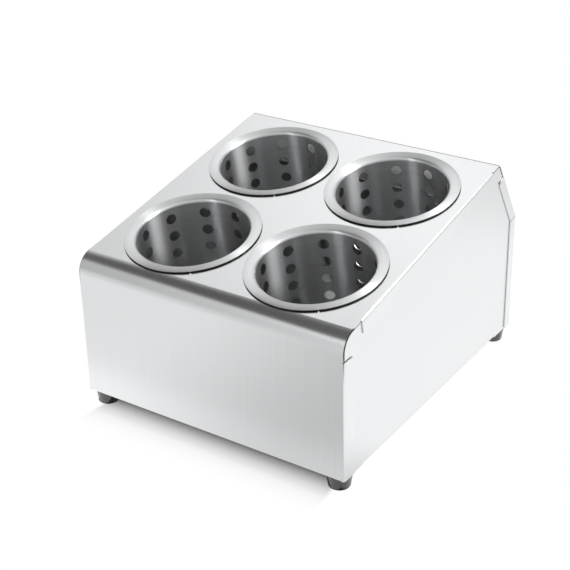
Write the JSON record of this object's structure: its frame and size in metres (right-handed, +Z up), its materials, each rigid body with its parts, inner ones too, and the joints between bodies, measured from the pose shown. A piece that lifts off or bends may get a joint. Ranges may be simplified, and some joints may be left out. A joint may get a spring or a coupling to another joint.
{
  "type": "cutlery dispenser",
  "caption": "Free-standing folded sheet steel box with a sloping deck that holds round perforated lift-out cylinders for upright eating utensils.",
  "frame": {"origin": "on the table, under the middle of the body's width and depth", "axes": "+Z up, +Y from the low front to the high back, +X to the right as seen from the front"},
  "size_m": [0.255, 0.2922, 0.1831],
  "materials": {
    "body_sheet": "fine brushed stainless steel sheet",
    "cylinder_sheet": "stainless steel sheet, brushed round the cylinder",
    "foot_rubber": "matte black moulded rubber",
    "fastener_steel": "plain bright steel"
  },
  "bodies": {
    "body": {"folded_body": "body_sheet", "side_panel_left": "body_sheet", "side_panel_right": "body_sheet", "foot_front_left": "foot_rubber", "foot_front_right": "foot_rubber", "foot_rear_left": "foot_rubber", "foot_rear_right": "foot_rubber", "screw_front_left": "fastener_steel", "screw_front_right": "fastener_steel", "screw_rear_left": "fastener_steel", "screw_rear_right": "fastener_steel", "washer_front_left": "fastener_steel", "washer_front_right": "fastener_steel", "washer_rear_left": "fastener_steel", "washer_rear_right": "fastener_steel", "nut_front_left": "fastener_steel", "nut_front_right": "fastener_steel", "nut_rear_left": "fastener_steel", "nut_rear_right": "fastener_steel"},
    "cylinder_front_left": {"cylinder_front_left": "cylinder_sheet", "base_front_left": "cylinder_sheet"},
    "cylinder_front_right": {"cylinder_front_right": "cylinder_sheet", "base_front_right": "cylinder_sheet"},
    "cylinder_rear_left": {"cylinder_rear_left": "cylinder_sheet", "base_rear_left": "cylinder_sheet"},
    "cylinder_rear_right": {"cylinder_rear_right": "cylinder_sheet", "base_rear_right": "cylinder_sheet"}
  },
  "joints": [
    {"name": "lift_front_left", "type": "slide", "parent": "body", "child": "cylinder_front_left", "axis": [0, -0.1805, 0.9836], "range_m": [0, 0.15]},
    {"name": "lift_front_right", "type": "slide", "parent": "body", "child": "cylinder_front_right", "axis": [0, -0.1805, 0.9836], "range_m": [0, 0.15]},
    {"name": "lift_rear_left", "type": "slide", "parent": "body", "child": "cylinder_rear_left", "axis": [0, -0.1805, 0.9836], "range_m": [0, 0.15]},
    {"name": "lift_rear_right", "type": "slide", "parent": "body", "child": "cylinder_rear_right", "axis": [0, -0.1805, 0.9836], "range_m": [0, 0.15]}
  ]
}
